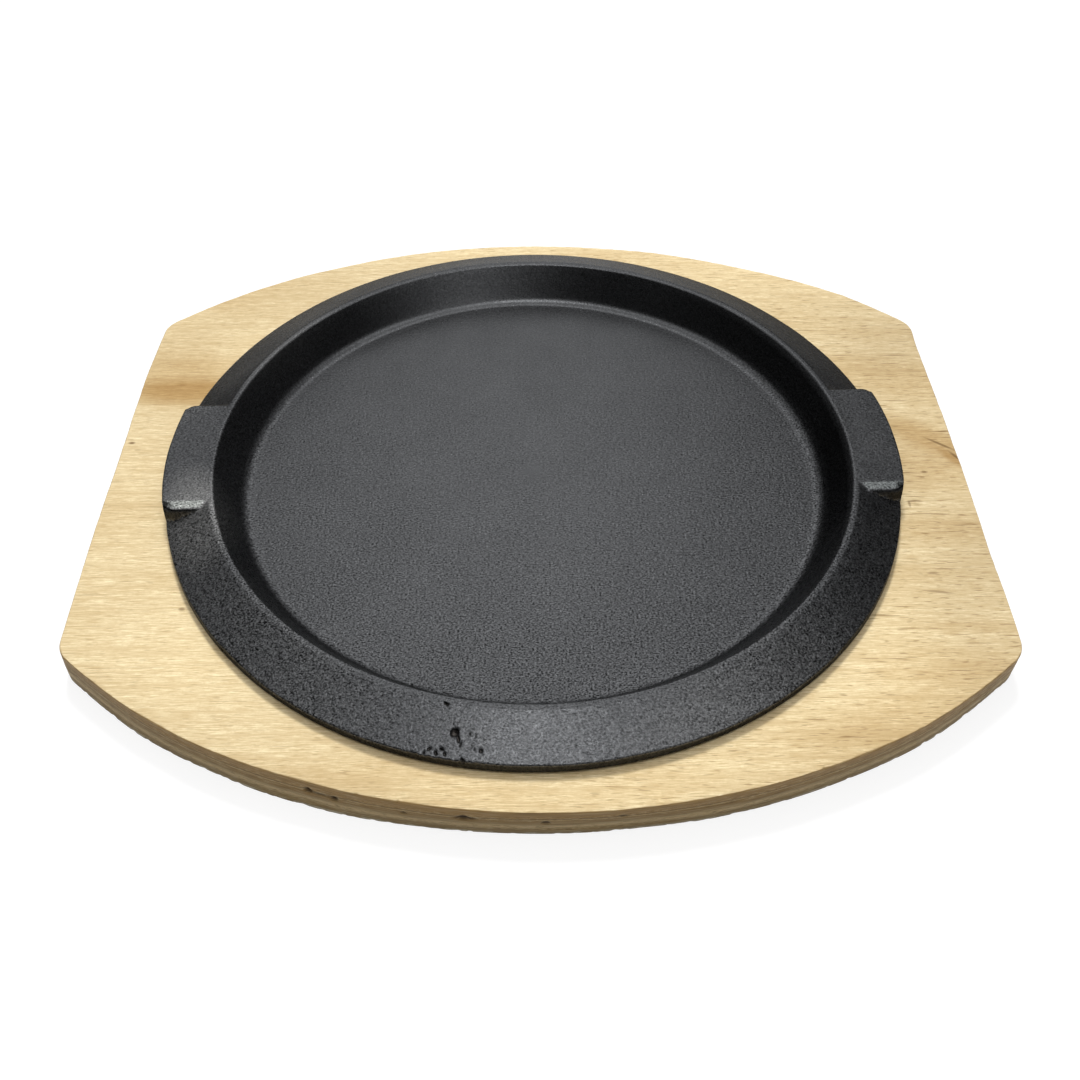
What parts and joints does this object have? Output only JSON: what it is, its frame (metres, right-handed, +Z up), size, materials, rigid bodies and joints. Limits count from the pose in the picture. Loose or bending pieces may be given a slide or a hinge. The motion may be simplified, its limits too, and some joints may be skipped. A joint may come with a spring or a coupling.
{
  "type": "sizzle platter",
  "caption": "Round cast iron sizzle platter with a shallow well, a sloping brim and opposed gripping lugs, seated in the routed recess of a bow-sided plywood underliner board.",
  "frame": {"origin": "middle of the board's underside, where it rests on the table", "axes": "+X along the board's long axis, from lug to lug; +Y towards the back; +Z up, out of the well"},
  "size_m": [0.2958, 0.2742, 0.0221],
  "materials": {
    "plywood": "sanded, unfinished",
    "cast_iron": "as cast, baked black, fine pebbled"
  },
  "bodies": {
    "root": {"underliner_board": "plywood", "cast_plate": "cast_iron"}
  },
  "joints": []
}
